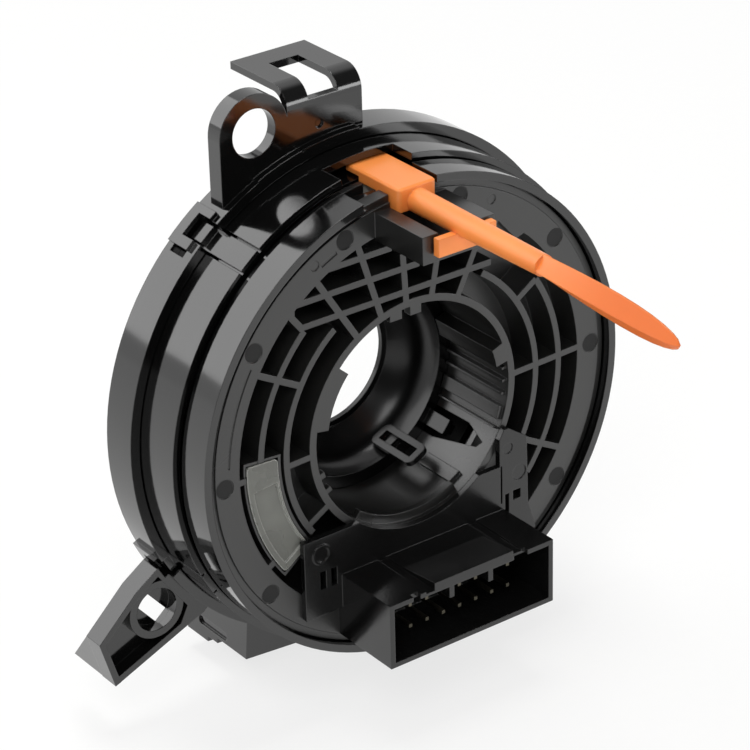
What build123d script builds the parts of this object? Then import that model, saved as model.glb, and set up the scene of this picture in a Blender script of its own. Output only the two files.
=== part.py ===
from build123d import *
from math import atan2, cos, degrees, hypot, radians, sin, sqrt
import os

os.makedirs("parts", exist_ok=True)

# Steering clock spring. The ring axis lies along Y, +Z is up and the driver looks at the side towards -Y.
# The origin is on the ring axis at the open end of the column bore. All heights are measured from there,
# forwards along -Y, and every angle runs from +X towards +Z.

# Radii of the stack, each one stepped off the band
band_radius = 53.5
band_wall = 1.55
shell_wall = 2.1
rim_wall = 1.7
part_gap = 0.2
running_gap = 0.3
band_inner = band_radius - band_wall
shell_inner = band_radius + part_gap
shell_radius = shell_inner + shell_wall
rim_radius = band_radius - 1.5
rim_inner = rim_radius - rim_wall
face_radius = rim_inner - running_gap
lip_inner = face_radius - 1.5
annulus_inner = lip_inner - 5.7
cover_radius = face_radius - 0.5

# Heights of the stack, from the column end to the driver's side
back_face = 3.9
back_plate = 1.8
plate_top = back_face + back_plate
shell_front = back_face + 8.6
band_front = shell_front + 11.5
rim_back = band_front + 0.9
face_front = rim_back + 6.4
rim_front = face_front + 1.5

# Column bore and the sleeve in front of it
column_bore = 14.4
bore_lip = 1.2
hub_throat = column_bore + 1.3
hub_wall = 1.5
sleeve_inner = 24.4
sleeve_wall = 1.6
sleeve_outer = sleeve_inner + sleeve_wall
sleeve_back = plate_top + 4.6
hub_mouth = sleeve_inner - 2.9
collar_radius = sleeve_inner + 3.1
hub_skirt = sleeve_inner - 0.1
loop_angle = -62.6
loop_width = 5.6
loop_back = sleeve_back - 3.9
loop_front = sleeve_back + 10.0
plate_bore = hub_skirt + running_gap

# Rotor face
annulus_thick = 2.2
lip_drop = 0.5
floor_top = face_front - 7.0
floor_thick = 1.5
rib_thick = 1.4
drum_wall = 1.4
drum_outer = annulus_inner + drum_wall
drum_back = plate_top + 0.8
cover_top = band_front - 1.4
cover_thick = 1.5
cell_width = annulus_inner - sleeve_inner
mark_middle = (annulus_inner + lip_inner) / 2 + 0.7
latch_angle = -39.0
outer_rib = sleeve_inner + 0.723 * cell_width
inner_rib = sleeve_inner + 0.391 * cell_width
mark_radius = 2.1
mark_depth = 0.2

# Cable chamber
sheet_thick = 0.25
wall_outer = band_inner - 2.45
wall_inner = wall_outer - 1.2
wall_top = cover_top - cover_thick - 1.1
cable_width = wall_top - plate_top - 1.3
cable_thick = 0.3
cable_pitch = 0.7
cable_half_turns = 6

# Rails on the face for the shipping lock
lock_centre = 0.3
lock_head_width = 9.4
lock_top = band_inner - 0.55
lock_side_gap = 0.5
rail_left = -4.9
rail_right = 5.5
rail_outer = 8.7
rail_top = lock_top - 4.2
rail_bottom = rail_top - 5.9
rail_front = face_front + 15.2
rail_back = face_front - 1.5

# Shipping lock: where its head, bar and leaf lie
head_front = rim_front + 0.6
head_bottom = lock_top - 5.0
bar_back = rim_front + 0.1
bar_front = rim_front + 39.0
bar_height = lock_top - 3.2
bar_radius = 2.6
leaf_length = 38.3
leaf_steps = 10

# Snap fingers between the band and the shell
finger_angles = (128.65, 208.65, 308.65, 28.65)
finger_span = 5.4
block_rise = 0.9

# Front connector
plug_left = -20.2
plug_right = 21.8
plug_bottom = 6.0 - face_radius
plug_top = plug_bottom + 14.7
plug_front = face_front + 17.5
plug_wall = 1.1
plug_floor = 2.0
plate_thick = 1.4
plate_edge = plug_top + 10.3
pin_size = 0.8
front_pin_pitch = 4.2
front_row_pitch = 5.0
front_pin_count = 7
plug_middle = (plug_left + plug_right) / 2
pin_row = (plug_top + plug_bottom) / 2

# Rear connector
rear_left = -31.1
rear_right = -5.0
rear_wall = 1.4
rear_depth = 13.2
rear_height = 12.0
rear_bottom = 0.5 - shell_radius
rear_drop = 2.4
rear_tilt = -4.5
rear_pin_count = 6
rear_pin_pitch = 3.6
rear_pin_start = 4.0
rear_pin_height = 4.0
pin_fit = 0.01

# Sight window
window_inner = sleeve_inner + 0.505 * cell_width
window_outer = annulus_inner - 1.7
window_start = 177.2
window_end = 216.6
window_thick = 1.3
window_gap = 0.15

# Upper ear and bracket
ear_x = -22.1
ear_z = shell_radius + 5.0
ear_radius = 8.1
ear_hole = 5.05
ear_front = shell_front - 1.7
ear_back = ear_front - 4.0
ear_seat = 2.6
bracket_left = -14.1
bracket_right = 4.0
bracket_top = shell_radius + 12.0
bracket_thick = 1.6
bracket_bend = 4.6
bracket_reach = 19.2

# Lower arm, drawn from the point where it leaves the shell
arm_angle = 215.3
arm_hole = 4.8
arm_boss = 6.5
arm_front = shell_front - 1.7
arm_back = arm_front - 5.0
arm_wall = 1.3
arm_floor = 1.8
fin_reach = 15.8


def polar(radius, angle):
    return radius * cos(radians(angle)), radius * sin(radians(angle))


arm_root = polar(shell_radius, arm_angle)
arm_place = Location((*arm_root, 0))


def ring_piece(inner, outer, start, end):
    """A flat piece of a ring between two radii and two angles."""
    with BuildSketch() as piece:
        with BuildLine():
            CenterArc((0, 0), outer, start, end - start)
            CenterArc((0, 0), inner, start, end - start)
            Line(polar(inner, start), polar(outer, start))
            Line(polar(inner, end), polar(outer, end))
        make_face()
    return piece.sketch


def spoke(inner, outer, angle, width):
    """A flat bar along a radius."""
    with BuildSketch() as bar:
        with Locations(Location((*polar((inner + outer) / 2, angle), 0), (0, 0, angle))):
            Rectangle(outer - inner, width)
    return bar.sketch


def radial_plane(angle):
    """A plane through the ring axis that faces outwards at that angle; its x runs forwards."""
    return Plane((0, 0, 0), x_dir=(0, -1, 0), z_dir=(cos(radians(angle)), 0, sin(radians(angle))))


def straight_bar(start, end, width):
    """A flat bar of even width between two points."""
    middle = ((start[0] + end[0]) / 2, (start[1] + end[1]) / 2, 0)
    angle = degrees(atan2(end[1] - start[1], end[0] - start[0]))
    with BuildSketch() as bar:
        with Locations(Location(middle, (0, 0, angle))):
            Rectangle(hypot(end[0] - start[0], end[1] - start[1]), width)
    return bar.sketch


def rect(left, right, bottom, top):
    """A flat rectangle given by its four sides."""
    with BuildSketch() as flat:
        with Locations(((left + right) / 2, (bottom + top) / 2)):
            Rectangle(right - left, top - bottom)
    return flat.sketch


# ---------------------------------------------------------------- rear housing, the fixed shell
with BuildPart() as rear_housing:
    # Back plate and outer wall
    with BuildSketch(Plane.XZ.offset(back_face)):
        Circle(shell_radius)
    extrude(amount=shell_front - back_face)

    # Upper ear with its screw hole
    with BuildSketch(Plane.XZ.offset(ear_back)):
        with Locations((ear_x, ear_z)):
            Circle(ear_radius)
        add(rect(ear_x - ear_radius, bracket_left + 1, shell_inner * 0.86, ear_z))
        add(rect(ear_x, bracket_left + 1, shell_inner * 0.86, ear_z - 4.5))
    extrude(amount=ear_front - ear_back)

    # Bracket beside the ear: a plate that rises and bends back over the top
    with BuildSketch(Plane.YZ.offset(bracket_left)):
        with BuildLine():
            Polyline(
                (-ear_front, shell_inner * 0.94),
                (-ear_front, bracket_top - bracket_bend),
            )
            RadiusArc(
                (-ear_front, bracket_top - bracket_bend),
                (-ear_front + bracket_bend, bracket_top),
                bracket_bend,
            )
            Polyline(
                (-ear_front + bracket_bend, bracket_top),
                (-ear_front + bracket_reach, bracket_top),
                (-ear_front + bracket_reach, bracket_top - bracket_thick),
                (-ear_front + bracket_bend, bracket_top - bracket_thick),
            )
            RadiusArc(
                (-ear_front + bracket_bend, bracket_top - bracket_thick),
                (-ear_front + bracket_thick, bracket_top - bracket_bend),
                -(bracket_bend - bracket_thick),
            )
            Polyline(
                (-ear_front + bracket_thick, bracket_top - bracket_bend),
                (-ear_front + bracket_thick, shell_inner * 0.94),
                (-ear_front, shell_inner * 0.94),
            )
        make_face()
    extrude(amount=bracket_right - bracket_left)

    # Lower arm, a shallow tray with its own root in the shell
    with BuildSketch(Plane.XZ.offset(arm_back)):
        with Locations(arm_place):
            Polygon(
                (-0.9, 7.2),
                (-4.9, 5.4),
                (-10.1, 1.9),
                (-19.5, -7.1),
                (-16.4, -18.0),
                (0.3, -11.0),
                (5.7, -8.8),
                (8.5, -6.3),
                align=None,
            )
    extrude(amount=arm_front - arm_back)

    # Rear connector box below the ring, open towards the column
    with BuildSketch(Plane.XZ.offset(back_face - rear_depth)):
        with Locations(Location((rear_left, rear_bottom, 0), (0, 0, rear_tilt))):
            Rectangle(rear_right - rear_left, rear_height, align=(Align.MIN, Align.MIN))
    extrude(amount=shell_front - back_face + rear_depth)
    for drop, length in ((rear_drop, rear_depth - 5.5), (rear_drop / 2, rear_depth - 2.0)):
        with BuildSketch(Plane.XZ.offset(back_face - rear_depth)):
            with Locations(Location((rear_left, rear_bottom, 0), (0, 0, rear_tilt))):
                with Locations((0, -drop)):
                    Rectangle(rear_right - rear_left, rear_height, align=(Align.MIN, Align.MIN))
        extrude(amount=length)

    # Raised strip along the shell's front edge, beside the ear
    with BuildSketch(Plane.XZ.offset(ear_front - 0.1)):
        add(ring_piece(shell_radius - 0.5, shell_radius + 0.4, 88, 102))
        add(ring_piece(shell_radius - 0.5, shell_radius + 0.4, 102.4, 114))
    extrude(amount=shell_front - ear_front + 0.1)

    # Chamber inside the shell
    with BuildSketch(Plane.XZ.offset(plate_top)):
        Circle(shell_inner)
    extrude(amount=shell_front - plate_top + 1, mode=Mode.SUBTRACT)
    with BuildSketch(Plane.XZ.offset(back_face - 1)):
        Circle(plate_bore)
    extrude(amount=back_plate + 2, mode=Mode.SUBTRACT)

    # Inner wall that the flat cable winds against
    with BuildSketch(Plane.XZ.offset(plate_top)):
        Circle(wall_outer)
        Circle(wall_inner, mode=Mode.SUBTRACT)
    extrude(amount=wall_top - plate_top)

    # Ear hole: a seat for the screw's bush in front, relieved behind
    with BuildSketch(Plane.XZ.offset(ear_back - 1)):
        with Locations((ear_x, ear_z)):
            Circle(ear_hole)
    extrude(amount=ear_front - ear_back + 2, mode=Mode.SUBTRACT)
    with BuildSketch(Plane.XZ.offset(ear_front - ear_seat)):
        with Locations((ear_x, ear_z)):
            Circle(ear_hole + 1.2)
    extrude(amount=-(ear_front - ear_seat - ear_back + 1), mode=Mode.SUBTRACT)

    # Window over the bracket's bend and its small dimple
    with BuildSketch(Plane.XY.offset(bracket_top - 3.4)):
        with Locations(((bracket_left + bracket_right) / 2 - 0.2, -ear_front + 6.2)):
            Rectangle(7.2, 14.4)
    extrude(amount=6, mode=Mode.SUBTRACT)
    with BuildSketch(Plane.XZ.offset(ear_front - 0.5)):
        with Locations((-6.5, shell_radius + 2.9)):
            Circle(1.0)
    extrude(amount=1, mode=Mode.SUBTRACT)

    # Tray of the arm, then its boss with a tool slot behind
    with BuildSketch(Plane.XZ.offset(arm_back + arm_floor)):
        with Locations(arm_place):
            Polygon(
                (-4.7, 3.6),
                (-9.4, 0.4),
                (-18.0, -7.5),
                (-15.5, -16.0),
                (0.1, -9.4),
                (1.9, -5.7),
                align=None,
            )
    extrude(amount=arm_front, mode=Mode.SUBTRACT)
    with BuildSketch(Plane.XZ.offset(arm_back)):
        with Locations(arm_place):
            with Locations((-5.3, -4.1)):
                Circle(arm_boss)
    extrude(amount=arm_front - arm_back - 0.3)
    with BuildSketch(Plane.XZ.offset(arm_back + arm_floor)):
        with Locations(arm_place):
            with Locations((-5.3, -4.1)):
                Circle(arm_hole)
    extrude(amount=arm_front, mode=Mode.SUBTRACT)
    with BuildSketch(Plane.XZ.offset(arm_back - 1)):
        with Locations(arm_place):
            with Locations(Location((-4.5, -5.6, 0), (0, 0, -50))):
                Rectangle(8.6, 3.4)
    extrude(amount=arm_floor + 2, mode=Mode.SUBTRACT)

    # Fin that reaches back from the arm's end
    fin_corner = (arm_root[0] - 17.9, -arm_front, arm_root[1] - 12.5)
    with BuildSketch(Plane(fin_corner, x_dir=(0.274, 0, -0.962), z_dir=(-0.962, 0, -0.274))):
        Polygon((-5.6, arm_back - arm_front), (-5.6, 0), (5.6, 0), (5.6, -fin_reach), align=None)
    extrude(amount=-arm_wall)

    # Snap windows for the band's fingers, each in a raised block with a relief slot beside it
    for angle in finger_angles:
        with BuildSketch(Plane.XZ.offset(back_face + 0.5)):
            add(ring_piece(shell_radius - 0.5, shell_radius + block_rise, angle - 4.6, angle + 5.0))
        extrude(amount=shell_front - back_face - 2.2)
        with BuildSketch(Plane.XZ.offset(shell_front - 5.4)):
            add(ring_piece(shell_inner - 0.5, shell_radius + 1, angle - finger_span / 2, angle + finger_span / 2))
        extrude(amount=6, mode=Mode.SUBTRACT)
        with BuildSketch(Plane.XZ.offset(plate_top)):
            add(ring_piece(shell_inner - 0.5, shell_radius + 1, angle + 5.0, angle + 6.6))
        extrude(amount=4.5, mode=Mode.SUBTRACT)

    # Long recess in the left side of the rear connector
    with BuildSketch(Plane.YZ.offset(rear_left - 1)):
        with Locations((0, rear_bottom + 1.6)):
            SlotOverall(10.4, 2.0)
    extrude(amount=1.6, mode=Mode.SUBTRACT)

    # Socket of the rear connector, with a hole for each pressed pin
    with BuildSketch(Plane.XZ.offset(back_face - rear_depth - 1)):
        with Locations(Location((rear_left, rear_bottom, 0), (0, 0, rear_tilt))):
            with Locations((rear_wall, rear_wall - rear_drop)):
                Rectangle(
                    rear_right - rear_left - 2 * rear_wall,
                    rear_height + rear_drop - 2 * rear_wall - 2.0,
                    align=(Align.MIN, Align.MIN),
                )
    extrude(amount=rear_depth - 1.0, mode=Mode.SUBTRACT)
    for index in range(rear_pin_count):
        with BuildSketch(Plane.XZ.offset(back_face - 3)):
            with Locations(Location((rear_left, rear_bottom, 0), (0, 0, rear_tilt))):
                with Locations((rear_pin_start + index * rear_pin_pitch, rear_pin_height)):
                    Rectangle(pin_size + 2 * pin_fit, pin_size + 2 * pin_fit)
        extrude(amount=plate_top - back_face + 2.9, mode=Mode.SUBTRACT)

rear_housing.part.label = "rear_housing"
export_step(rear_housing.part, "parts/rear_housing.step")

for index in range(rear_pin_count):
    with BuildPart() as rear_pin:
        with BuildSketch(Plane.XZ.offset(back_face - rear_depth + 5.0)):
            with Locations(Location((rear_left, rear_bottom, 0), (0, 0, rear_tilt))):
                with Locations((rear_pin_start + index * rear_pin_pitch, rear_pin_height)):
                    Rectangle(pin_size, pin_size)
        extrude(amount=plate_top - back_face + rear_depth - 5.2)
    rear_pin.part.label = f"rear_pin_{index + 1}"
    export_step(rear_pin.part, f"parts/rear_pin_{index + 1}.step")

# ---------------------------------------------------------------- middle housing, the fixed band
with BuildPart() as middle_housing:
    with BuildSketch(Plane.XZ.offset(plate_top)):
        Circle(band_radius)
        Circle(band_inner, mode=Mode.SUBTRACT)
    extrude(amount=band_front - plate_top)
    # Notch that the shipping lock's head reaches through
    with BuildSketch(Plane.XZ.offset(band_front - 6.2)):
        add(ring_piece(band_inner - 1, band_radius + 1, 83.4, 102))
    extrude(amount=8, mode=Mode.SUBTRACT)
    # Fingers: slit free on both sides, with a hook that snaps into the shell
    for angle in finger_angles:
        for side in (-1, 1):
            edge = angle + side * (finger_span / 2 + 0.3)
            with BuildSketch(Plane.XZ.offset(plate_top - 1)):
                add(ring_piece(band_inner - 1, band_radius + 1, edge - 0.3, edge + 0.3))
            extrude(amount=11, mode=Mode.SUBTRACT)
            with BuildSketch(Plane.XZ.offset(plate_top + 9)):
                add(ring_piece(band_radius - 0.9, band_radius + 1, edge - 0.3, edge + 0.3))
            extrude(amount=12, mode=Mode.SUBTRACT)
        with BuildSketch(Plane.XZ.offset(shell_front - 4.6)):
            add(ring_piece(band_radius - 0.2, shell_radius - 0.7, angle - 2.1, angle + 2.1))
        extrude(amount=3.4)
middle_housing.part.label = "middle_housing"
export_step(middle_housing.part, "parts/middle_housing.step")


def lock_slot():
    """The upright slot through the rotor's rim that the shipping lock's head slides in."""
    return rect(
        lock_centre - lock_head_width / 2 - lock_side_gap,
        lock_centre + lock_head_width / 2 + lock_side_gap,
        lock_top - 6.0,
        rim_radius + 2,
    )


# ---------------------------------------------------------------- front ring, the rim of the rotor
with BuildPart() as front_ring:
    with BuildSketch(Plane.XZ.offset(rim_back)):
        Circle(rim_radius)
        Circle(rim_inner, mode=Mode.SUBTRACT)
    extrude(amount=rim_front - rim_back)
    with BuildSketch(Plane.XZ.offset(rim_back + 0.9)):
        Circle(rim_inner + 0.5)
        Circle(rim_inner - 3.5, mode=Mode.SUBTRACT)
    extrude(amount=2.0)
    with BuildSketch(Plane.XZ.offset(rim_back - 1)):
        add(lock_slot())
        add(rect(lock_centre - 12.6, lock_centre, lock_top - 2.4, rim_radius + 2))
    extrude(amount=rim_front - rim_back + 2, mode=Mode.SUBTRACT)
front_ring.part.label = "front_ring"
export_step(front_ring.part, "parts/front_ring.step")

# ---------------------------------------------------------------- rotor face
with BuildPart() as rotor_face:
    # Flat annulus with the lower lip around it
    with BuildSketch(Plane.XZ.offset(face_front - annulus_thick)):
        Circle(lip_inner)
        Circle(annulus_inner, mode=Mode.SUBTRACT)
    extrude(amount=annulus_thick)
    with BuildSketch(Plane.XZ.offset(rim_back + 2.9)):
        Circle(face_radius)
        Circle(lip_inner - 1.5, mode=Mode.SUBTRACT)
    extrude(amount=face_front - lip_drop - rim_back - 2.9)

    # Drum that the cable winds on, its cover plate and the floor of the cells
    with BuildSketch(Plane.XZ.offset(drum_back)):
        Circle(drum_outer)
        Circle(annulus_inner, mode=Mode.SUBTRACT)
    extrude(amount=face_front - drum_back)
    with BuildSketch(Plane.XZ.offset(cover_top - cover_thick)):
        Circle(cover_radius)
        Circle(annulus_inner, mode=Mode.SUBTRACT)
    extrude(amount=cover_thick)
    with BuildSketch(Plane.XZ.offset(floor_top - floor_thick)):
        Circle(annulus_inner + 0.5)
        Circle(sleeve_inner + 0.5, mode=Mode.SUBTRACT)
    extrude(amount=floor_thick)

    # Bore sleeve
    with BuildSketch(Plane.XZ.offset(sleeve_back)):
        Circle(sleeve_outer)
        Circle(sleeve_inner, mode=Mode.SUBTRACT)
    extrude(amount=face_front - sleeve_back)

    # Ribs of the cells: two broken rings, their spokes and the grid at the top
    sleeve_root = sleeve_inner + 1.1
    drum_root = annulus_inner + 0.4
    with BuildSketch(Plane.XZ.offset(floor_top - 0.5)):
        for radius, start, end in (
            (outer_rib, 134, 177),
            (outer_rib, -39, 33),
            (inner_rib, 127, 215),
            (inner_rib, -28, 56),
        ):
            add(ring_piece(radius - rib_thick / 2, radius + rib_thick / 2, start, end))
        for start, end, angle in (
            (inner_rib, drum_root, 150.5),
            (sleeve_root, inner_rib, 181.9),
            (window_outer, drum_root, 181),
            (sleeve_root, inner_rib, 211),
            (window_outer, drum_root, 211),
            (sleeve_root, drum_root, 1.8),
            (inner_rib, drum_root, -28.7),
            (inner_rib, outer_rib, 33),
            (sleeve_root, drum_root, 122),
            (sleeve_root, drum_root, 107.3),
            (sleeve_root, 0.853 * annulus_inner, 93.2),
            (sleeve_root, 0.771 * annulus_inner, 79),
            (sleeve_root, 0.841 * annulus_inner, 63.5),
        ):
            add(spoke(start, end, angle, rib_thick))
        for left, bottom, right, top in (
            (-0.514, 0.9, -0.11, 0.9),
            (-0.661, 0.776, 0.047, 0.776),
            (-0.64, 0.654, 0.467, 0.654),
            (-0.678, 0.827, -0.678, 0.713),
            (-0.682, 0.724, -0.621, 0.645),
        ):
            lower_end = (left * annulus_inner, bottom * annulus_inner)
            upper_end = (right * annulus_inner, top * annulus_inner)
            add(straight_bar(lower_end, upper_end, rib_thick))
    extrude(amount=face_front - floor_top + 0.5)

    # Solid land at the upper right, beside the lock's rails
    with BuildSketch(Plane.XZ.offset(face_front - annulus_thick)):
        with BuildLine():
            Polyline(
                polar(annulus_inner + 1, 37),
                (0.666 * annulus_inner, 0.743 * annulus_inner),
                (0.619 * annulus_inner, 0.729 * annulus_inner),
                (0.514 * annulus_inner, 0.85 * annulus_inner),
                (0.409 * annulus_inner, 0.736 * annulus_inner),
                (0.234 * annulus_inner, 0.783 * annulus_inner),
                polar(annulus_inner + 1, 77),
            )
            CenterArc((0, 0), annulus_inner + 1, 37, 77 - 37)
        make_face()
    extrude(amount=annulus_thick)

    # Rails that guide the lock, joined under it
    with BuildSketch(Plane.XZ.offset(rail_back)):
        add(rect(lock_centre - 0.2 - rail_outer, rail_left, rail_bottom, rail_top))
        add(rect(rail_right, lock_centre - 0.2 + rail_outer, rail_bottom, rail_top))
        add(rect(rail_left - 1, rail_right + 1, rail_bottom, rail_bottom + 1.4))
    extrude(amount=rail_front - rail_back)

    # Frame and seat of the sight window
    with BuildSketch(Plane.XZ.offset(floor_top - 0.5)):
        add(ring_piece(window_inner - 0.8, window_outer + 0.6, window_start - 1.2, window_end + 1.2))
    extrude(amount=face_front - floor_top + 0.3)
    with BuildSketch(Plane.XZ.offset(floor_top)):
        add(ring_piece(window_inner + 0.8, window_outer - 0.8, window_start + 1.2, window_end - 1.2))
    extrude(amount=face_front, mode=Mode.SUBTRACT)
    with BuildSketch(Plane.XZ.offset(face_front - window_thick)):
        add(
            ring_piece(
                window_inner - window_gap,
                window_outer + window_gap,
                window_start - 0.25,
                window_end + 0.25,
            )
        )
    extrude(amount=face_front, mode=Mode.SUBTRACT)

    # Keys and ribs on the wall of the bore
    wall_root = sleeve_inner + 0.3
    with BuildSketch(Plane.XZ.offset(sleeve_back + 2)):
        add(ring_piece(sleeve_inner - 2.8, wall_root, 138, 170.5))
        add(ring_piece(sleeve_inner - 2.8, wall_root, 10, 21))
    extrude(amount=face_front - sleeve_back - 2)
    with BuildSketch(Plane.XZ.offset(face_front - 2.4)):
        add(ring_piece(sleeve_inner - 2.0, wall_root, 233, 297))
        add(ring_piece(sleeve_inner - 1.6, wall_root, 195, 198.5))
        add(ring_piece(sleeve_inner - 1.6, wall_root, 205, 208))
    extrude(amount=1.4)
    with BuildSketch(Plane.XZ.offset(face_front - 2.0)):
        add(rect(-5.5, -2.6, sleeve_inner - 2.0, sleeve_inner + 0.6))
        add(rect(-0.5, 2.2, sleeve_inner - 2.0, sleeve_inner + 0.8))
    extrude(amount=2.0)
    with BuildSketch(Plane.XZ.offset(face_front - 13.6)):
        add(ring_piece(sleeve_inner - 0.8, wall_root, 298, 305.4))
    extrude(amount=10.4)
    with BuildSketch(Plane.XZ.offset(sleeve_back + 1.7)):
        for start, end in ((-22, -15), (-27, -26), (-9, -7.5), (-2, -0.5), (5, 6.5)):
            add(ring_piece(sleeve_inner - 1.1, sleeve_inner + 0.3, start, end))
    extrude(amount=face_front - sleeve_back - 2.4)

    # Window in the sleeve, widening backwards, that the hub's latch clicks into
    with BuildSketch(radial_plane(latch_angle).offset(sleeve_inner - 1.2)):
        Polygon(
            (face_front - 2.9, -1.1),
            (face_front - 3.9, 0.4),
            (face_front - 16.3, 3.2),
            (sleeve_back - 1, 3.2),
            (sleeve_back - 1, -3.0),
            (face_front - 8.8, -3.2),
            align=None,
        )
    extrude(amount=sleeve_wall + 1.3, mode=Mode.SUBTRACT)

    # Ejector marks and two fine grooves on the annulus
    with BuildSketch(Plane.XZ.offset(face_front - mark_depth)):
        for angle in (74.8, 110, 145.5, 181, 217.5, 1.5, 37.8, 323.5):
            with Locations(polar(mark_middle, angle)):
                Circle(mark_radius)
        for angle in (120, 64):
            with Locations(polar(mark_middle, angle)):
                Circle(mark_radius / 2)
        add(ring_piece(mark_middle - 1.3, mark_middle - 0.9, 149.5, 176))
        add(ring_piece(mark_middle - 1.6, mark_middle - 0.8, 113.4, 118.6))
    extrude(amount=1, mode=Mode.SUBTRACT)

    # Slot for the shipping lock's head through the annulus, lip and cover
    with BuildSketch(Plane.XZ.offset(cover_top - cover_thick - 1)):
        add(lock_slot())
    extrude(amount=face_front - cover_top + cover_thick + 2, mode=Mode.SUBTRACT)
rotor_face.part.label = "rotor_face"
export_step(rotor_face.part, "parts/rotor_face.step")

# ---------------------------------------------------------------- rear hub, the smooth funnel in the bore
with BuildPart() as rear_hub:
    with BuildSketch(Plane.XY):
        with BuildLine():
            Polyline(
                (hub_skirt, -sleeve_back - hub_wall),
                (hub_mouth, -sleeve_back - hub_wall),
                (hub_mouth, -sleeve_back),
            )
            Spline(
                (hub_mouth, -sleeve_back),
                (hub_mouth - 1.4, -sleeve_back + 5.0),
                (hub_throat, -bore_lip),
                tangents=((0, 1), (-0.75, 0.66)),
            )
            Polyline(
                (hub_throat, -bore_lip),
                (column_bore, -bore_lip),
                (column_bore, 0),
                (column_bore + 2.0, 0),
                (hub_throat + 2.0, -bore_lip - 0.6),
            )
            Polyline(
                (hub_throat + 2.0, -bore_lip - 0.6),
                (hub_mouth - 1.4 + hub_wall, -sleeve_back + 4.8),
                (hub_skirt - hub_wall, -sleeve_back + 1.2),
                (hub_skirt - hub_wall, -bore_lip - 0.6),
                (collar_radius, -bore_lip - 0.6),
                (collar_radius, -back_face + running_gap),
                (hub_skirt, -back_face + running_gap),
                (hub_skirt, -sleeve_back - hub_wall),
            )
        make_face()
    revolve(axis=Axis.Y)
    # Latch tongue with its hook, in the window of the rotor's sleeve
    with BuildSketch(Plane.XZ.offset(sleeve_back + 0.5)):
        add(ring_piece(hub_skirt - 1.3, hub_skirt - 0.1, latch_angle - 4.2, latch_angle + 4.2))
    extrude(amount=hub_wall + 6.2)
    with BuildSketch(Plane.XZ.offset(sleeve_back + hub_wall + 5.0)):
        add(ring_piece(hub_skirt - 0.3, sleeve_inner + 0.9, latch_angle - 2.4, latch_angle + 2.4))
    extrude(amount=1.7)
    # Loop that stands forward out of the funnel
    with BuildSketch(radial_plane(loop_angle).offset(hub_mouth - 1.9)):
        with Locations(((loop_back + loop_front) / 2, 0)):
            RectangleRounded(loop_front - loop_back, loop_width, 1.6)
            Rectangle(loop_front - loop_back - 3.4, loop_width - 3.2, mode=Mode.SUBTRACT)
    extrude(amount=1.2)
    with BuildSketch(radial_plane(loop_angle).offset(hub_mouth - 0.9)):
        with Locations((sleeve_back - 1.0, 0)):
            Rectangle(3.6, loop_width - 1.0)
    extrude(amount=1.6)
rear_hub.part.label = "rear_hub"
export_step(rear_hub.part, "parts/rear_hub.step")

# ---------------------------------------------------------------- sight window
with BuildPart() as sight_window:
    with BuildSketch(Plane.XZ.offset(face_front - window_thick)):
        add(ring_piece(window_inner, window_outer, window_start, window_end))
    extrude(amount=window_thick)
    fillet(sight_window.edges().filter_by(Axis.Y), 1.0)
    # Sunk field below a cross step, with a raised border around it
    with BuildSketch(Plane.XZ.offset(face_front - 0.4)):
        add(ring_piece(window_inner + 0.5, window_outer - 1.3, window_start + 8.8, window_end - 2.2))
    extrude(amount=1, mode=Mode.SUBTRACT)
sight_window.part.label = "sight_window"
export_step(sight_window.part, "parts/sight_window.step")

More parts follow.
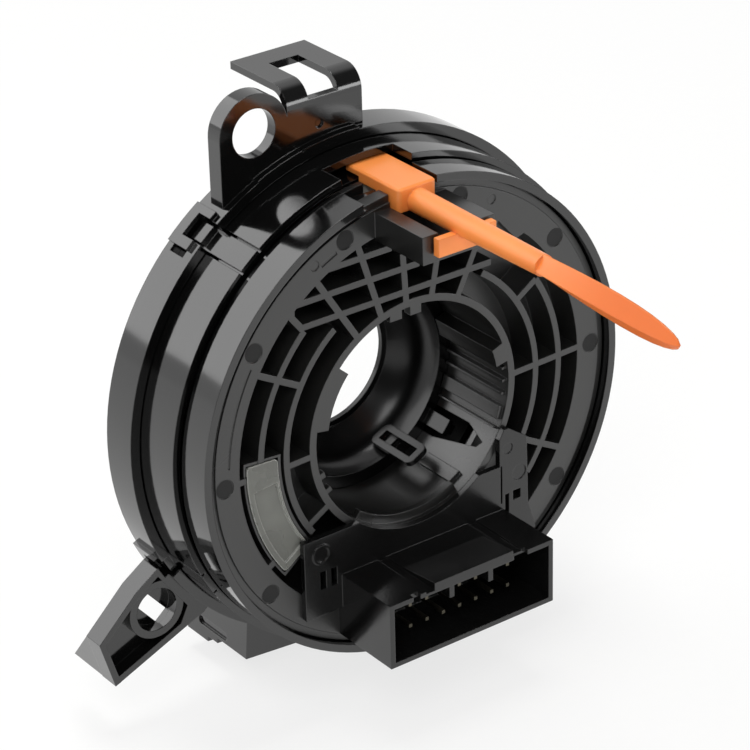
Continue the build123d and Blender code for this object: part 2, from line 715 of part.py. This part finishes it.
# ---------------------------------------------------------------- front connector
with BuildPart() as front_connector:
    with BuildSketch(Plane.XZ.offset(face_front)):
        add(rect(plug_left, plug_right, plug_bottom, plug_top))
    extrude(amount=plug_front - face_front)
    with BuildSketch(Plane.XZ.offset(face_front + plug_floor)):
        add(
            rect(
                plug_left + plug_wall,
                plug_right - plug_wall,
                plug_bottom + plug_wall,
                plug_top - plug_wall,
            )
        )
    extrude(amount=plug_front - face_front, mode=Mode.SUBTRACT)
    # Mounting plates on both sides of the box
    with BuildSketch(Plane.XZ.offset(face_front)):
        add(rect(plug_left - 9.1, plug_left + 1, plug_bottom + 7.0, plate_edge))
        Polygon(
            (plug_right - 1, -10.6),
            (23.2, -10.6),
            (28.0, -14.0),
            polar(annulus_inner - 1.5, -46.6),
            polar(face_radius - 2.4, -50.3),
            (plug_right - 1, plug_bottom + 4.0),
            align=None,
        )
        add(rect(plug_left - 1, plug_right, plug_top - 1, plate_edge))
        Circle(sleeve_inner, mode=Mode.SUBTRACT)
    extrude(amount=plate_thick)
    # Boss on the left plate; slits, a square window and two marks on the right one
    with BuildSketch(Plane.XZ.offset(face_front + 0.5)):
        with Locations((plug_left - 4.8, plate_edge - 3.8)):
            Circle(2.3)
            Circle(1.6, mode=Mode.SUBTRACT)
    extrude(amount=plate_thick - 0.2)
    with BuildSketch(Plane.XZ.offset(face_front - 1)):
        for slit in (plug_left - 5.3, plug_left - 2.6):
            add(rect(slit, slit + 1.4, plug_top - 1.7, plug_top + 2.4))
        add(rect(plug_right - 0.8, plug_right - 0.4, plug_top + 1.4, plate_edge + 0.1))
        add(rect(plug_right + 0.4, plug_right + 1.4, plug_top - 1.2, plug_top + 3.3))
        add(rect(plug_right + 2.5, plug_right + 4.5, plug_top + 1.3, plug_top + 3.5))
    extrude(amount=plate_thick + 2, mode=Mode.SUBTRACT)
    with BuildSketch(Plane.XZ.offset(face_front + plate_thick - mark_depth)):
        with Locations((plug_right + 1.2, -15.3)):
            Circle(mark_radius * 0.6)
        with Locations((plug_right + 4.2, -21.9)):
            Circle(mark_radius * 0.85)
    extrude(amount=1, mode=Mode.SUBTRACT)
    # Middle of the box's top, rising towards the mouth
    with BuildSketch(Plane.YZ.offset(plug_left + 11.3)):
        Polygon(
            (-plug_front, plug_top - 0.5),
            (-plug_front, plug_top + 1.2),
            (-face_front - plate_thick - 1.5, plug_top - 0.5),
            align=None,
        )
    extrude(amount=20.2)
    # Grooves along the top and the notches of its front edge
    with BuildSketch(Plane.XZ.offset(face_front + plate_thick)):
        for centre in (plug_left + 10.2, plug_right - 8.5):
            add(rect(centre - 1.1, centre + 1.1, plug_top - 0.5, plug_top + 2))
    extrude(amount=plug_front, mode=Mode.SUBTRACT)
    with BuildSketch(Plane.XZ.offset(plug_front - 1.2)):
        add(rect(plug_left + 5.9, plug_left + 7.7, plug_top - 1.4, plug_top + 1))
        add(rect(plug_right - 10.3, plug_right - 6.7, plug_top - 1.4, plug_top + 2))
    extrude(amount=3, mode=Mode.SUBTRACT)
    # Keying ribs under the top
    with BuildSketch(Plane.XZ.offset(face_front + plug_floor - 0.5)):
        for centre in (-4.2, 5.8):
            add(rect(centre - 0.6, centre + 0.6, plug_top - plug_wall - 3.0, plug_top - plug_wall + 0.2))
    extrude(amount=plug_front - face_front - plug_floor)
    # Holes that the pins are pressed into
    with BuildSketch(Plane.XZ.offset(face_front - 1)):
        with Locations((plug_middle, pin_row)):
            with GridLocations(front_pin_pitch, front_row_pitch, front_pin_count, 2):
                Rectangle(pin_size + 2 * pin_fit, pin_size + 2 * pin_fit)
    extrude(amount=plug_floor + 2, mode=Mode.SUBTRACT)
front_connector.part.label = "front_connector"
export_step(front_connector.part, "parts/front_connector.step")

for index in range(2 * front_pin_count):
    column = index % front_pin_count - (front_pin_count - 1) / 2
    row = index // front_pin_count - 0.5
    with BuildPart() as front_pin:
        with BuildSketch(Plane.XZ.offset(floor_top + 1.5)):
            with Locations((plug_middle + column * front_pin_pitch, pin_row + row * front_row_pitch)):
                Rectangle(pin_size, pin_size)
        extrude(amount=plug_front - floor_top - 6.0)
    front_pin.part.label = f"front_pin_{index + 1}"
    export_step(front_pin.part, f"parts/front_pin_{index + 1}.step")

# ---------------------------------------------------------------- terminal blocks
with BuildPart() as inner_terminal:
    with BuildSketch(Plane.XZ.offset(floor_top)):
        with Locations((plug_middle, pin_row)):
            Rectangle((front_pin_count - 1) * front_pin_pitch + 2.0, front_row_pitch + 2.0)
            with GridLocations(front_pin_pitch, front_row_pitch, front_pin_count, 2):
                Rectangle(pin_size + 2 * pin_fit, pin_size + 2 * pin_fit, mode=Mode.SUBTRACT)
        Circle(annulus_inner, mode=Mode.INTERSECT)
    extrude(amount=face_front - floor_top)
inner_terminal.part.label = "inner_terminal"
export_step(inner_terminal.part, "parts/inner_terminal.step")

with BuildPart() as outer_terminal:
    with BuildSketch(Plane.XZ.offset(plate_top)):
        add(ring_piece(wall_outer, band_inner - part_gap, 232, 252))
    extrude(amount=5.0)
outer_terminal.part.label = "outer_terminal"
export_step(outer_terminal.part, "parts/outer_terminal.step")

# ---------------------------------------------------------------- flat cable and its slip sheets
with BuildPart() as flat_cable:
    with BuildSketch(Plane.XZ.offset(plate_top + 2 * sheet_thick)):
        for index in range(cable_half_turns):
            start = drum_outer + index * cable_pitch / 2
            with Locations((index % 2 * cable_pitch / 2, 0)):
                add(ring_piece(start, start + cable_thick, index % 2 * 180, index % 2 * 180 + 180))
    extrude(amount=cable_width)
flat_cable.part.label = "flat_cable"
export_step(flat_cable.part, "parts/flat_cable.step")

with BuildPart() as rear_slip_sheet:
    with BuildSketch(Plane.XZ.offset(plate_top)):
        Circle(wall_inner - part_gap)
        Circle(drum_outer + 0.4, mode=Mode.SUBTRACT)
    extrude(amount=sheet_thick)
rear_slip_sheet.part.label = "rear_slip_sheet"
export_step(rear_slip_sheet.part, "parts/rear_slip_sheet.step")

with BuildPart() as front_slip_sheet:
    with BuildSketch(Plane.XZ.offset(cover_top - cover_thick - sheet_thick)):
        Circle(wall_inner - part_gap)
        Circle(drum_outer, mode=Mode.SUBTRACT)
    extrude(amount=sheet_thick)
front_slip_sheet.part.label = "front_slip_sheet"
export_step(front_slip_sheet.part, "parts/front_slip_sheet.step")

# ---------------------------------------------------------------- shipping lock
with BuildPart() as shipping_lock:
    # Stepped head that lies in the rim's slot
    with BuildSketch(Plane.YZ.offset(lock_centre - lock_head_width / 2)):
        Polygon(
            (-head_front, head_bottom),
            (-head_front, lock_top),
            (-head_front + 18.0, lock_top),
            (-head_front + 18.0, lock_top - 1.4),
            (-head_front + 12.9, lock_top - 1.4),
            (-head_front + 12.9, lock_top - 2.5),
            (-head_front + 7.4, lock_top - 2.5),
            (-head_front + 7.4, head_bottom),
            align=None,
        )
    extrude(amount=lock_head_width)
    fillet(shipping_lock.edges().filter_by(Axis.Z).group_by(Axis.Y)[-1], 1.3)
    fillet(shipping_lock.edges().filter_by(Axis.Z).group_by(Axis.Y)[0], 1.0)
    chamfer(shipping_lock.faces().sort_by(Axis.Z)[-1].edges(), 0.4)
    # Round bar that runs forward from the head and tapers a little
    with BuildSketch(Plane.XZ.offset(bar_back)):
        with Locations((lock_centre, bar_height - 0.2)):
            Circle(bar_radius)
    extrude(amount=bar_front - bar_back, taper=0.6)
    # Stop plate that closes the rails
    with BuildSketch(Plane.XZ.offset(rail_front + 0.4)):
        add(rect(rail_left - 1.4, rail_right + 2.2, rail_bottom + 1.7, rail_top - 0.4))
    extrude(amount=1.6)
    # Leaf-shaped pull tab with a ridge along both sides, its sections closer together near the tip
    for step in range(leaf_steps + 1):
        reach = sin(radians(90 * step / leaf_steps))
        taper = sqrt(1 - reach**7) if step < leaf_steps else 0
        half_tall = (2.0 + sin(radians(150 * reach))) * taper + 0.3
        half_width = (1.95 - 1.1 * reach) * taper + 0.2
        with BuildSketch(Plane.XZ.offset(bar_front - 0.5 + leaf_length * reach)):
            with Locations((lock_centre, bar_height - 0.1 - 1.8 * reach)):
                Polygon(
                    (-half_width, -half_tall * 0.3),
                    (0, half_tall),
                    (half_width, -half_tall * 0.3),
                    (0, -half_tall),
                    align=None,
                )
    loft(ruled=True)
shipping_lock.part.label = "shipping_lock"
export_step(shipping_lock.part, "parts/shipping_lock.step")
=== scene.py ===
import math

import bpy
from mathutils import Matrix, Vector

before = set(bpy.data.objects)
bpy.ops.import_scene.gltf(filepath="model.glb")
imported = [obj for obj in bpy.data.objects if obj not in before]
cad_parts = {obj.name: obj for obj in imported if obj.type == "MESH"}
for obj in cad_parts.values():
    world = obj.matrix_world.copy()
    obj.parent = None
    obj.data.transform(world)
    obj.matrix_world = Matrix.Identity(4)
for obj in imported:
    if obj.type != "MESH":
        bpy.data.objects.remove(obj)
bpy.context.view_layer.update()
print("frame loaded with", len(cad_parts), "nodes")


def linear(code):
    values = [int(code[i:i + 2], 16) / 255 for i in (1, 3, 5)]  # sRGB hex code to linear RGBA
    return [v / 12.92 if v <= 0.04045 else ((v + 0.055) / 1.055) ** 2.4 for v in values] + [1.0]


def addNode(tree, kind, inputs=None, **settings):
    # one node: attributes first, then inputs, where a socket links and anything else is a constant
    node = tree.nodes.new(kind)
    for name, value in settings.items():
        setattr(node, name, value)
    for name, value in (inputs or {}).items():
        if isinstance(value, bpy.types.NodeSocket):
            tree.links.new(value, node.inputs[name])
        else:
            node.inputs[name].default_value = value
    return node


def newMaterial(name):
    material = bpy.data.materials.new(name)
    material.use_nodes = True
    return material, next(n for n in material.node_tree.nodes if n.type == "BSDF_PRINCIPLED")


# Shared by every moulding: detail of the three noises, the part of the drift in use, and the soft edge with
# the span of its painted edge highlight
mouldSettings = dict(
    driftDetail=2.0, grainDetail=3.0, waveDetail=1.0, driftLow=0.3, driftHigh=0.7,
    bevelSamples=4, edgeStart=1.0, edgeFull=0.9, plainSpecular=0.5,
)


def mouldedPlastic(name, look):
    # fine grain and a broad unevenness in the bump, soft edges, a slow drift of gloss and tone, and, where a
    # look asks for it, a painted highlight on the edges
    material, shader = newMaterial(name)
    tree = material.node_tree
    place = addNode(tree, "ShaderNodeTexCoord").outputs["Object"]
    drift = addNode(
        tree,
        "ShaderNodeTexNoise",
        {"Vector": place, "Scale": look["driftScale"], "Detail": mouldSettings["driftDetail"]},
    )
    grain = addNode(
        tree,
        "ShaderNodeTexNoise",
        {"Vector": place, "Scale": look["grainScale"], "Detail": mouldSettings["grainDetail"]},
    )
    waves = addNode(
        tree,
        "ShaderNodeTexNoise",
        {"Vector": place, "Scale": look["waveScale"], "Detail": mouldSettings["waveDetail"]},
    )
    gloss = addNode(
        tree,
        "ShaderNodeMapRange",
        {
            "Value": drift.outputs["Fac"],
            "From Min": mouldSettings["driftLow"],
            "From Max": mouldSettings["driftHigh"],
            "To Min": look["roughness"][0],
            "To Max": look["roughness"][1],
        },
    )
    tone = addNode(
        tree,
        "ShaderNodeMix",
        {"Factor": drift.outputs["Fac"], 6: linear(look["dark"]), 7: linear(look["light"])},
        data_type="RGBA",
    )
    softEdge = addNode(
        tree, "ShaderNodeBevel", {"Radius": look["edgeRadius"]}, samples=mouldSettings["bevelSamples"]
    )
    colour = tone.outputs[2]
    # painted highlight: the colour is mixed towards a paler tone on edges, standing in for light catching
    # them
    if "paintedEdgeHighlight" in look:  # edges, where the soft normal leaves the face's own, catch more light
        faceNormal = addNode(tree, "ShaderNodeNewGeometry").outputs["Normal"]
        alike = addNode(
            tree,
            "ShaderNodeVectorMath",
            {0: softEdge.outputs["Normal"], 1: faceNormal},
            operation="DOT_PRODUCT",
        )
        onEdgeHighlight = addNode(
            tree,
            "ShaderNodeMapRange",
            {
                "Value": alike.outputs["Value"],
                "From Min": mouldSettings["edgeStart"],
                "From Max": mouldSettings["edgeFull"],
            },
        )
        colour = addNode(
            tree,
            "ShaderNodeMix",
            {0: onEdgeHighlight.outputs["Result"], 6: colour, 7: linear(look["paintedEdgeHighlight"])},
            data_type="RGBA",
        ).outputs[2]
    broad = addNode(
        tree,
        "ShaderNodeBump",
        {
            "Height": waves.outputs["Fac"],
            "Strength": look["waveStrength"],
            "Distance": look["waveDepth"],
            "Normal": softEdge.outputs["Normal"],
        },
    )
    fine = addNode(
        tree,
        "ShaderNodeBump",
        {
            "Height": grain.outputs["Fac"],
            "Strength": look["grainStrength"],
            "Distance": look["grainDepth"],
            "Normal": broad.outputs["Normal"],
        },
    )
    tree.links.new(colour, shader.inputs["Base Color"])
    tree.links.new(gloss.outputs["Result"], shader.inputs["Roughness"])
    tree.links.new(fine.outputs["Normal"], shader.inputs["Normal"])
    shader.inputs["IOR"].default_value = look["ior"]
    shader.inputs["Specular IOR Level"].default_value = look.get("specular", mouldSettings["plainSpecular"])
    return material, shader


# Polished shell: the eye sees long reflections that bend with the bands and waver a little
polishedLook = dict(
    dark="#040404", light="#090909", roughness=(0.07, 0.12), ior=1.6, specular=0.65, edgeRadius=0.00025,
    driftScale=35.0, waveScale=45.0, waveStrength=0.35, waveDepth=0.0004,
    grainScale=2200.0, grainStrength=0.05, grainDepth=0.00005,
)
polishedBlack = mouldedPlastic("polished_black_moulding", polishedLook)[0]

# Spark-textured face: the eye sees an even grey veil over black, with broad, dull reflections
satinLook = dict(
    dark="#0d0d0d", light="#20201f", roughness=(0.26, 0.38), ior=1.6, specular=0.65, edgeRadius=0.0003,
    driftScale=28.0, waveScale=60.0, waveStrength=0.3, waveDepth=0.0003,
    grainScale=2600.0, grainStrength=0.2, grainDepth=0.00008,
)
satinBlack, satinShader = mouldedPlastic("satin_black_moulding", satinLook)

# Ejector marks on the face: matt discs that look darker than the satin around them
markLook = dict(
    ring=0.04635, radius=0.0021, edge=0.00025, tone="#050505", roughness=0.85,
    angles=(1.5, 37.8, 74.8, 110, 145.5, 181, 217.5, 323.5),
)
satinTree = satinBlack.node_tree
facePlace = addNode(satinTree, "ShaderNodeTexCoord").outputs["Object"]
flatPlace = addNode(satinTree, "ShaderNodeVectorMath", {0: facePlace, 1: (1, 0, 1)}, operation="MULTIPLY")
nearest = None
for angle in map(math.radians, markLook["angles"]):
    centre = (markLook["ring"] * math.cos(angle), 0, markLook["ring"] * math.sin(angle))
    away = addNode(
        satinTree, "ShaderNodeVectorMath", {0: flatPlace.outputs["Vector"], 1: centre}, operation="DISTANCE"
    ).outputs["Value"]
    if nearest is not None:
        away = addNode(
            satinTree, "ShaderNodeMath", {0: nearest, 1: away}, operation="MINIMUM"
        ).outputs["Value"]
    nearest = away
onMark = addNode(
    satinTree,
    "ShaderNodeMapRange",
    {
        "Value": nearest,
        "From Min": markLook["radius"],
        "From Max": markLook["radius"] - markLook["edge"],
    },
).outputs["Result"]
markTone = addNode(
    satinTree,
    "ShaderNodeMix",
    {0: onMark, 6: satinShader.inputs["Base Color"].links[0].from_socket, 7: linear(markLook["tone"])},
    data_type="RGBA",
)
markGloss = addNode(
    satinTree,
    "ShaderNodeMix",
    {0: onMark, 2: satinShader.inputs["Roughness"].links[0].from_socket, 3: markLook["roughness"]},
)
satinTree.links.new(markTone.outputs[2], satinShader.inputs["Base Color"])
satinTree.links.new(markGloss.outputs[0], satinShader.inputs["Roughness"])

# Acetal hub: the eye sees a deeper black with a soft, slightly waxy sheen instead of sharp reflections
acetalLook = dict(
    dark="#040404", light="#080808", roughness=(0.2, 0.28), ior=1.46, edgeRadius=0.0003,
    driftScale=40.0, waveScale=70.0, waveStrength=0.3, waveDepth=0.0003,
    grainScale=2400.0, grainStrength=0.08, grainDepth=0.00005,
)
acetalBlack = mouldedPlastic("moulded_black_acetal", acetalLook)[0]

# Glass-filled connector: a greyer black than the shell, with a short soft sheen and fine dust-like grain
connectorLook = dict(
    dark="#0a0a0a", light="#131313", roughness=(0.15, 0.24), ior=1.57, edgeRadius=0.0003,
    driftScale=70.0, waveScale=60.0, waveStrength=0.3, waveDepth=0.0003,
    grainScale=1500.0, grainStrength=0.18, grainDepth=0.00006,
)
connectorBlack = mouldedPlastic("glass_filled_black_moulding", connectorLook)[0]

# Orange lock: strong orange with a soft waxy sheen and a little light inside
orangeLook = dict(
    dark="#f0853a", light="#f6964a", roughness=(0.32, 0.42), ior=1.5, specular=0.65, edgeRadius=0.0004,
    driftScale=60.0, waveScale=90.0, waveStrength=0.3, waveDepth=0.0003,
    grainScale=1800.0, grainStrength=0.15, grainDepth=0.00006,
    innerLight=0.12, innerReach=(0.003, 0.0012, 0.0005), innerScale=1.0,
)
waxyOrange, orangeShader = mouldedPlastic("waxy_orange_moulding", orangeLook)
# Painted shade: the leaf end is painted a deeper orange than the head and bar, standing in for the shade on
# the leaf's faces
leafShadeLook = dict(leafStart=-0.095, barEnd=-0.06, tone="#e87229")
orangeTree = waxyOrange.node_tree
lockPlace = addNode(orangeTree, "ShaderNodeTexCoord").outputs["Object"]
lockSplit = addNode(orangeTree, "ShaderNodeSeparateXYZ", {"Vector": lockPlace})
onShadedLeaf = addNode(
    orangeTree,
    "ShaderNodeMapRange",
    {"Value": lockSplit.outputs["Y"], "From Min": leafShadeLook["barEnd"], "From Max": leafShadeLook["leafStart"]},
    interpolation_type="SMOOTHSTEP",
).outputs["Result"]
leafShadeTone = addNode(
    orangeTree,
    "ShaderNodeMix",
    {0: onShadedLeaf, 6: orangeShader.inputs["Base Color"].links[0].from_socket, 7: linear(leafShadeLook["tone"])},
    data_type="RGBA",
)
orangeTree.links.new(leafShadeTone.outputs[2], orangeShader.inputs["Base Color"])
orangeShader.inputs["Subsurface Weight"].default_value = orangeLook["innerLight"]
orangeShader.inputs["Subsurface Radius"].default_value = orangeLook["innerReach"]
orangeShader.inputs["Subsurface Scale"].default_value = orangeLook["innerScale"]

# Frosted window: milky grey with faint sparkle, some light passes through it, and its edges carry a painted
# highlight in a paler grey
windowLook = dict(
    dark="#585954", light="#8d8e88", roughness=(0.2, 0.36), ior=1.49, edgeRadius=0.0004, paintedEdgeHighlight="#cfd0ca",
    driftScale=120.0, waveScale=160.0, waveStrength=0.4, waveDepth=0.0003,
    grainScale=1500.0, grainStrength=0.4, grainDepth=0.0001,
    transmission=0.35,
)
frostedClear, windowShader = mouldedPlastic("frosted_clear_moulding", windowLook)
windowShader.inputs["Transmission Weight"].default_value = windowLook["transmission"]

# Tinned contacts: the eye sees dull grey metal that has oxidised a little unevenly
tinLook = dict(
    dark="#4a473e", light="#6b675b", roughness=(0.35, 0.48), ior=1.5, edgeRadius=0.0001,
    driftScale=400.0, waveScale=500.0, waveStrength=0.2, waveDepth=0.0001,
    grainScale=5000.0, grainStrength=0.2, grainDepth=0.00003,
    metallic=1.0,
)
tinnedMetal, tinShader = mouldedPlastic("tinned_contact_metal", tinLook)
tinShader.inputs["Metallic"].default_value = tinLook["metallic"]

# Cable laminate and slip film: pale and smooth, with a slight ripple
filmLook = dict(
    dark="#c3c1b6", light="#d8d6cb", roughness=(0.28, 0.38), ior=1.5, edgeRadius=0.0001,
    driftScale=60.0, waveScale=120.0, waveStrength=0.3, waveDepth=0.0003,
    grainScale=1200.0, grainStrength=0.1, grainDepth=0.00005,
)
paleFilm = mouldedPlastic("pale_film_laminate", filmLook)[0]

nodeFinish = {
    "rear_housing": polishedBlack,
    "middle_housing": polishedBlack,
    "front_ring": polishedBlack,
    "rear_hub": acetalBlack,
    "front_connector": connectorBlack,
    "rotor_face": satinBlack,
    "inner_terminal": satinBlack,
    "outer_terminal": satinBlack,
    "sight_window": frostedClear,
    "shipping_lock": waxyOrange,
    "flat_cable": paleFilm,
    "rear_slip_sheet": paleFilm,
    "front_slip_sheet": paleFilm,
}
for nodeName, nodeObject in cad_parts.items():
    nodeObject.data.materials.clear()
    nodeObject.data.materials.append(nodeFinish.get(nodeName, tinnedMetal))
print("finishes on", len(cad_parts), "nodes")

# Camera, turned slightly about its own axis; lens in mm on a 36 mm sensor
viewSettings = dict(
    azimuth=-36.12, elevation=27.50, roll=-1.54, distance=0.6229,
    target=(-0.01068, -0.0328, 0.01309), lens=151.32, sensor=36.0, nearest=0.01,
)
azimuth = math.radians(viewSettings["azimuth"])
elevation = math.radians(viewSettings["elevation"])
roll = math.radians(viewSettings["roll"])
backward = Vector((
    math.sin(azimuth) * math.cos(elevation), -math.cos(azimuth) * math.cos(elevation), math.sin(elevation)
))
levelRight = Vector((math.cos(azimuth), math.sin(azimuth), 0.0))
levelUp = backward.cross(levelRight)
right = levelRight * math.cos(roll) + levelUp * math.sin(roll)
up = levelUp * math.cos(roll) - levelRight * math.sin(roll)
cameraData = bpy.data.cameras.new("main_camera")
cameraData.sensor_width = viewSettings["sensor"]
cameraData.lens = viewSettings["lens"]
cameraData.clip_start = viewSettings["nearest"]
camera = bpy.data.objects.new("main_camera", cameraData)
bpy.context.scene.collection.objects.link(camera)
axes = Matrix((right, up, backward)).transposed().to_4x4()
eye = Vector(viewSettings["target"]) + backward * viewSettings["distance"]
camera.matrix_world = Matrix.Translation(eye) @ axes
bpy.context.scene.camera = camera
print("camera placed")

# Floor: pale paper that is white to the camera, yet keeps part of the shadow
floorSettings = dict(
    height=-0.0625, half=2.5, dark="#efefed", light="#f4f4f2", paperScale=400.0, roughness=0.9, specular=0.1,
    whiteShare=0.75, fadeStart=0.25, fadeEnd=0.9,
)
half, height = floorSettings["half"], floorSettings["height"]
floorMesh = bpy.data.meshes.new("floor")
floorMesh.from_pydata(
    [(-half, -half, height), (half, -half, height), (half, half, height), (-half, half, height)],
    [],
    [(0, 1, 2, 3)],
)
floor = bpy.data.objects.new("floor", floorMesh)
bpy.context.scene.collection.objects.link(floor)
floorMaterial, floorShader = newMaterial("pale_paper")
floorTree = floorMaterial.node_tree
floorPlace = addNode(floorTree, "ShaderNodeTexCoord").outputs["Object"]
paperNoise = addNode(
    floorTree, "ShaderNodeTexNoise", {"Vector": floorPlace, "Scale": floorSettings["paperScale"]}
)
paperTone = addNode(
    floorTree,
    "ShaderNodeMix",
    {
        "Factor": paperNoise.outputs["Fac"],
        6: linear(floorSettings["dark"]),
        7: linear(floorSettings["light"]),
    },
    data_type="RGBA",
)
floorTree.links.new(paperTone.outputs[2], floorShader.inputs["Base Color"])
floorShader.inputs["Roughness"].default_value = floorSettings["roughness"]
floorShader.inputs["Specular IOR Level"].default_value = floorSettings["specular"]
whiteLight = addNode(floorTree, "ShaderNodeEmission", {"Color": (1, 1, 1, 1), "Strength": 1.0})
floorPath = addNode(floorTree, "ShaderNodeLightPath")
seenDirect = addNode(
    floorTree,
    "ShaderNodeMath",
    {0: floorPath.outputs["Is Camera Ray"], 1: floorPath.outputs["Is Glossy Ray"]},
    operation="MAXIMUM",
)
seenAll = addNode(
    floorTree,
    "ShaderNodeMath",
    {0: seenDirect.outputs["Value"], 1: floorPath.outputs["Is Transmission Ray"]},
    operation="MAXIMUM",
)
fromPart = addNode(floorTree, "ShaderNodeVectorMath", {0: floorPlace}, operation="LENGTH")
shareHere = addNode(  # the shadow fades out before the horizon, so floor and world meet in one white
    floorTree,
    "ShaderNodeMapRange",
    {
        "Value": fromPart.outputs["Value"],
        "From Min": floorSettings["fadeStart"],
        "From Max": floorSettings["fadeEnd"],
        "To Min": floorSettings["whiteShare"],
        "To Max": 1.0,
    },
    interpolation_type="SMOOTHSTEP",
)
whitePart = addNode(
    floorTree,
    "ShaderNodeMath",
    {0: seenAll.outputs["Value"], 1: shareHere.outputs["Result"]},
    operation="MULTIPLY",
)
floorMix = addNode(
    floorTree,
    "ShaderNodeMixShader",
    {0: whitePart.outputs["Value"], 1: floorShader.outputs["BSDF"], 2: whiteLight.outputs["Emission"]},
)
floorOutput = next(n for n in floorTree.nodes if n.type == "OUTPUT_MATERIAL")
floorTree.links.new(floorMix.outputs["Shader"], floorOutput.inputs["Surface"])
floorMesh.materials.append(floorMaterial)


lampAim = (0, -0.02, 0)


def softbox(name, settings):
    # a rectangular area lamp that looks at the middle of the part
    data = bpy.data.lights.new(name, "AREA")
    data.energy = settings["watts"]
    data.shape = "RECTANGLE"
    data.size, data.size_y = settings["size"]
    lamp = bpy.data.objects.new(name, data)
    bpy.context.scene.collection.objects.link(lamp)
    place = Vector(settings["place"])
    aim = (Vector(lampAim) - place).to_track_quat("-Z", "Y")
    lamp.matrix_world = Matrix.Translation(place) @ aim.to_matrix().to_4x4()


lampSettings = {
    "rear_left_bank": dict(watts=4.7, size=(1.01, 0.85), place=(-0.445, 0.92, 0.525)),
    "key_softbox": dict(watts=5.5, size=(0.6, 0.6), place=(-0.6, -0.65, 0.85)),
    "top_softbox": dict(watts=7.0, size=(0.5, 0.5), place=(0.05, 0.1, 1.2)),
    "right_softbox": dict(watts=3.0, size=(0.6, 0.3), place=(0.85, -0.9, 0.16)),
}
for lampName, settings in lampSettings.items():
    softbox(lampName, settings)

# World: white to the eye, softer as light; mirrors see the white backdrop and a dim room in front
worldSettings = dict(asLight=0.4, asSeen=1.0, backMirrored=0.9, frontMirrored=0.1, turn=0.25)
world = bpy.data.worlds.new("studio")
bpy.context.scene.world = world
world.use_nodes = True
background = next(n for n in world.node_tree.nodes if n.type == "BACKGROUND")
background.inputs["Color"].default_value = (1, 1, 1, 1)
worldPath = addNode(world.node_tree, "ShaderNodeLightPath")
worldSeen = addNode(
    world.node_tree,
    "ShaderNodeMath",
    {0: worldPath.outputs["Is Camera Ray"], 1: worldPath.outputs["Is Transmission Ray"]},
    operation="MAXIMUM",
)
worldPlace = addNode(world.node_tree, "ShaderNodeTexCoord").outputs["Generated"]
worldSplit = addNode(world.node_tree, "ShaderNodeSeparateXYZ", {"Vector": worldPlace})
worldMirrored = addNode(
    world.node_tree,
    "ShaderNodeMapRange",
    {
        "Value": worldSplit.outputs["Y"],
        "From Min": -worldSettings["turn"],
        "From Max": worldSettings["turn"],
        "To Min": worldSettings["frontMirrored"],
        "To Max": worldSettings["backMirrored"],
    },
    interpolation_type="SMOOTHSTEP",
)
worldPlain = addNode(
    world.node_tree,
    "ShaderNodeMapRange",
    {
        "Value": worldSeen.outputs["Value"],
        "To Min": worldSettings["asLight"],
        "To Max": worldSettings["asSeen"],
    },
)
worldStrength = addNode(
    world.node_tree,
    "ShaderNodeMix",
    {
        0: worldPath.outputs["Is Glossy Ray"],
        2: worldPlain.outputs["Result"],
        3: worldMirrored.outputs["Result"],
    },
)
world.node_tree.links.new(worldStrength.outputs[0], background.inputs["Strength"])
bpy.context.scene.view_settings.view_transform = "Standard"
print("floor, lamps and world placed")
